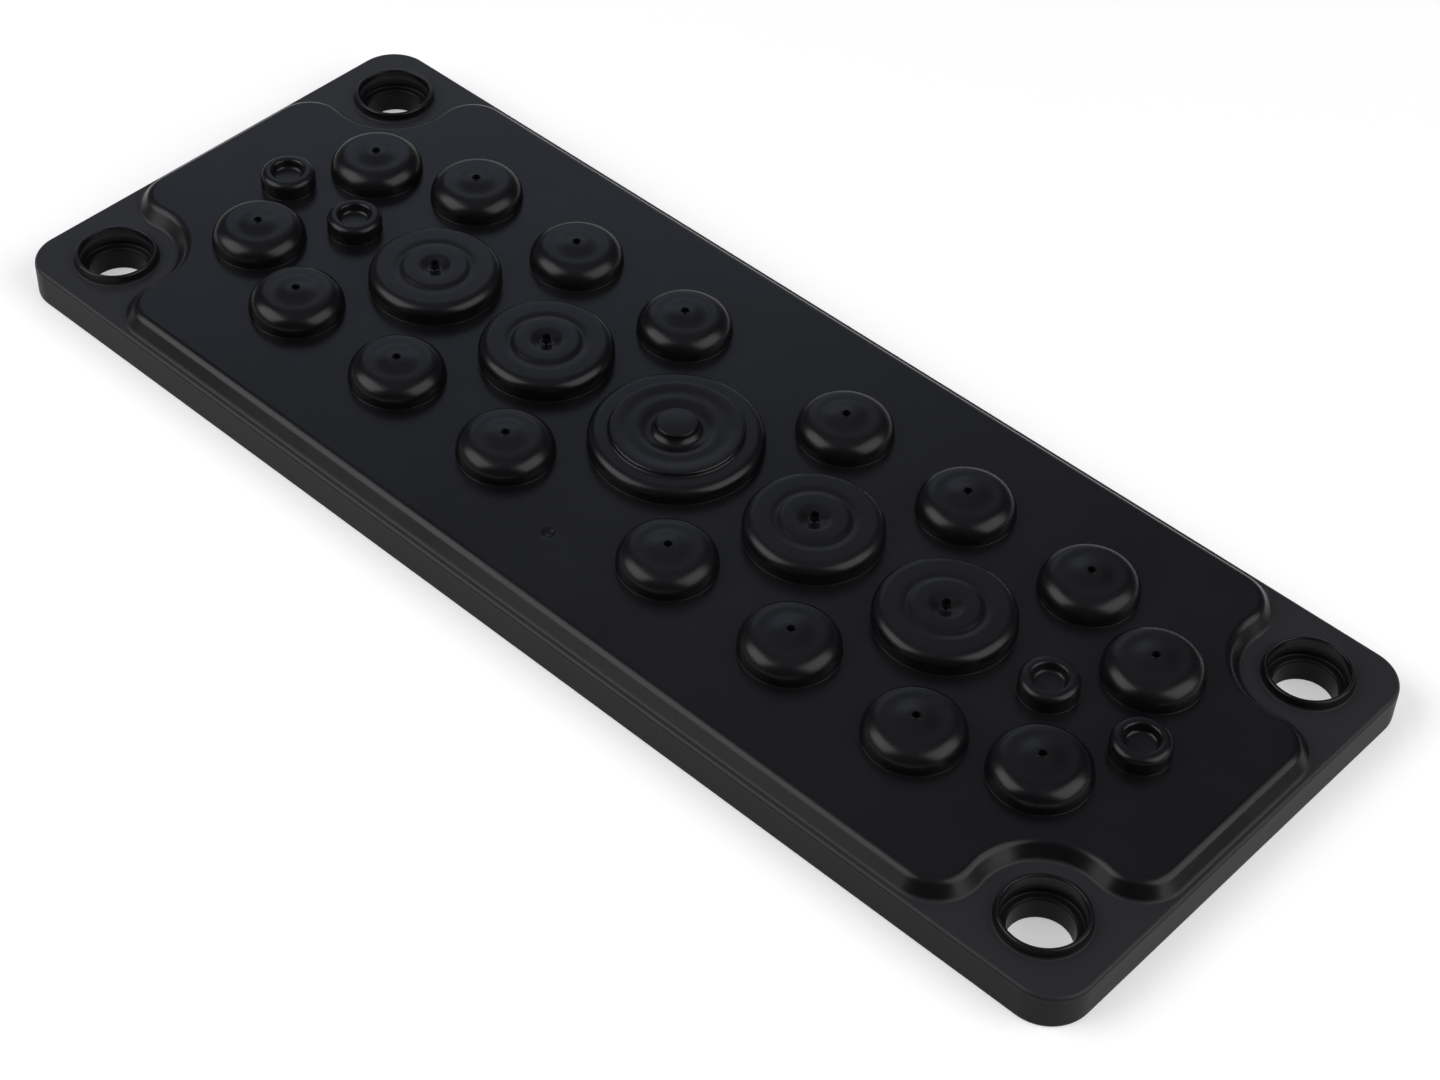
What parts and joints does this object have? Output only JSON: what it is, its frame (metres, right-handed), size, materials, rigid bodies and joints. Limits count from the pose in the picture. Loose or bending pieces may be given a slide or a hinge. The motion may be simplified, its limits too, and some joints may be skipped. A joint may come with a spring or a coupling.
{
  "type": "cable entry plate",
  "caption": "Flat moulded rubber plate with a raised field of pierceable round membranes, which closes an enclosure opening and seals round the cables pushed through it.",
  "frame": {"origin": "middle of the underside, on the plane of the sealing rim", "axes": "+Z out of the enclosure, through the membranes; +X along the plate's length"},
  "size_m": [0.175, 0.0676, 0.0104],
  "materials": {
    "elastomer": "satin black moulded elastomer"
  },
  "bodies": {
    "root": {"plate": "elastomer"}
  },
  "joints": []
}
